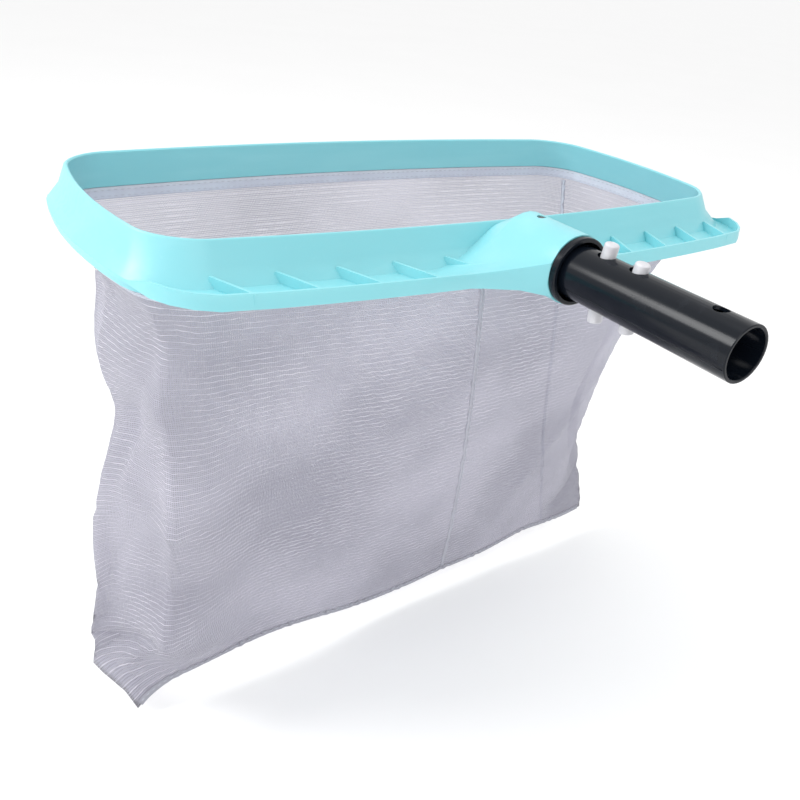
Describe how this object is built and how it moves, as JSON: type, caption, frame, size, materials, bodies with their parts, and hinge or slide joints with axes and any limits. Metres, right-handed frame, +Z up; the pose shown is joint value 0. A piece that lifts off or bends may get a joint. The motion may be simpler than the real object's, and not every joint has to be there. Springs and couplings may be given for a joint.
{
  "type": "leaf skimmer net",
  "caption": "Pool leaf skimmer net: a wide moulded rim with a deep fine-mesh bag, a round tube handle in the rim's hub, and a sprung pin clip that locks the tube into a pole.",
  "frame": {"origin": "centre of the handle tube's open end, on the tube's axis", "axes": "+Y runs along the tube towards the rim, +X along the rim's long side, +Z up out of the net's mouth"},
  "size_m": [0.4464, 0.3629, 0.3346],
  "materials": {
    "teal_plastic": "satin moulded polypropylene",
    "black_plastic": "glossy extruded plastic",
    "white_nylon": "white nylon",
    "mesh_cloth": "fine woven polyester mesh, part see-through",
    "hem_cloth": "pale blue woven binding",
    "screw_steel": "stainless steel"
  },
  "bodies": {
    "net": {"back_retainer": "teal_plastic", "back_screw_1": "screw_steel", "back_screw_2": "screw_steel", "back_screw_3": "screw_steel", "back_screw_4": "screw_steel", "back_screw_5": "screw_steel", "bag_back_panel": "mesh_cloth", "bag_bottom_seam": "hem_cloth", "bag_front_panel": "mesh_cloth", "bag_left_panel": "mesh_cloth", "bag_right_panel": "mesh_cloth", "clip_bend": "white_nylon", "front_retainer": "teal_plastic", "front_screw_1": "screw_steel", "front_screw_2": "screw_steel", "front_screw_3": "screw_steel", "front_screw_4": "screw_steel", "handle_lock_screw": "screw_steel", "handle_tube": "black_plastic", "hem_band": "hem_cloth", "hub_sleeve": "black_plastic", "left_retainer": "teal_plastic", "left_screw_1": "screw_steel", "left_screw_2": "screw_steel", "net_frame": "teal_plastic", "right_retainer": "teal_plastic", "right_screw_1": "screw_steel", "right_screw_2": "screw_steel"},
    "upper_arm": {"clip_arm_upper": "white_nylon"},
    "lower_arm": {"clip_arm_lower": "white_nylon"}
  },
  "joints": [
    {"name": "upper_pin_press", "type": "hinge", "parent": "net", "child": "upper_arm", "pos_m": [0, 0.03, 0], "axis": [-1, 0, 0], "range_deg": [0, 6.6], "stiffness_Nm_per_rad": 0.3, "springref_deg": -8.59},
    {"name": "lower_pin_press", "type": "hinge", "parent": "net", "child": "lower_arm", "pos_m": [0, 0.03, 0], "axis": [1, 0, 0], "range_deg": [0, 6.6], "stiffness_Nm_per_rad": 0.3, "springref_deg": -8.59}
  ]
}
